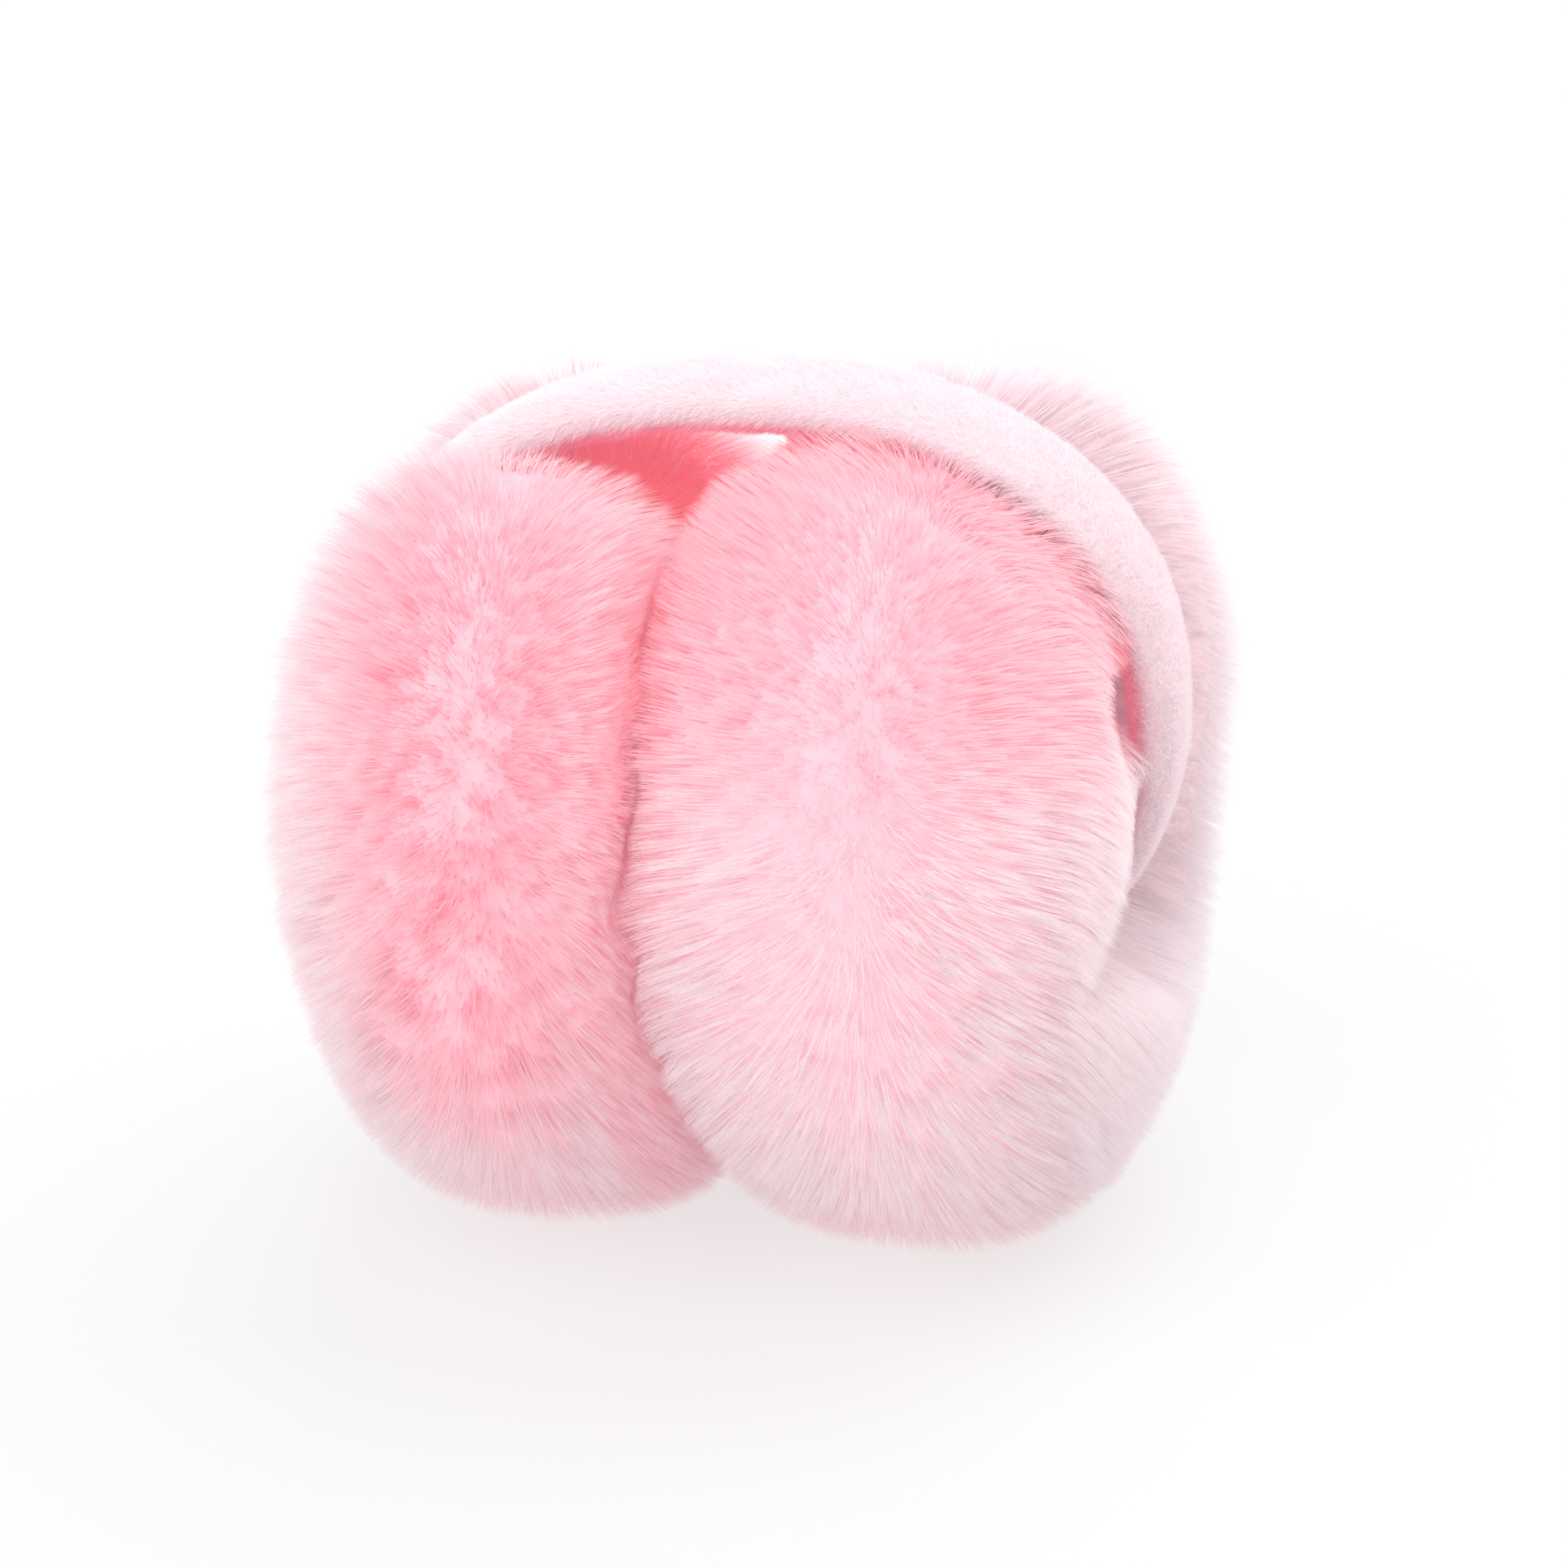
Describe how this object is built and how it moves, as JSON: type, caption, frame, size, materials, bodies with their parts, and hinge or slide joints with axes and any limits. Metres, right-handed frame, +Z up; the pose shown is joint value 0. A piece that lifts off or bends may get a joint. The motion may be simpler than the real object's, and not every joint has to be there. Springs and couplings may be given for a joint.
{
  "type": "fur earmuffs",
  "caption": "Fluffy fur earmuffs: thick round fur pads standing side by side under a padded plush headband that curls into their outer faces.",
  "frame": {"origin": "on the surface that the pads stand on, midway between the pads and in the band's middle plane", "axes": "+Z up towards the top of the band, +X from the left pad to the right pad, -Y to the front"},
  "size_m": [0.1395, 0.133, 0.1253],
  "materials": {
    "pad_fur": "deep soft pink imitation fur with pale silky tips and deeper pink roots",
    "band_plush": "short dense pale pink plush over padding"
  },
  "bodies": {
    "root": {"ear_pad_left": "pad_fur", "ear_pad_right": "pad_fur", "headband": "band_plush"}
  },
  "joints": []
}
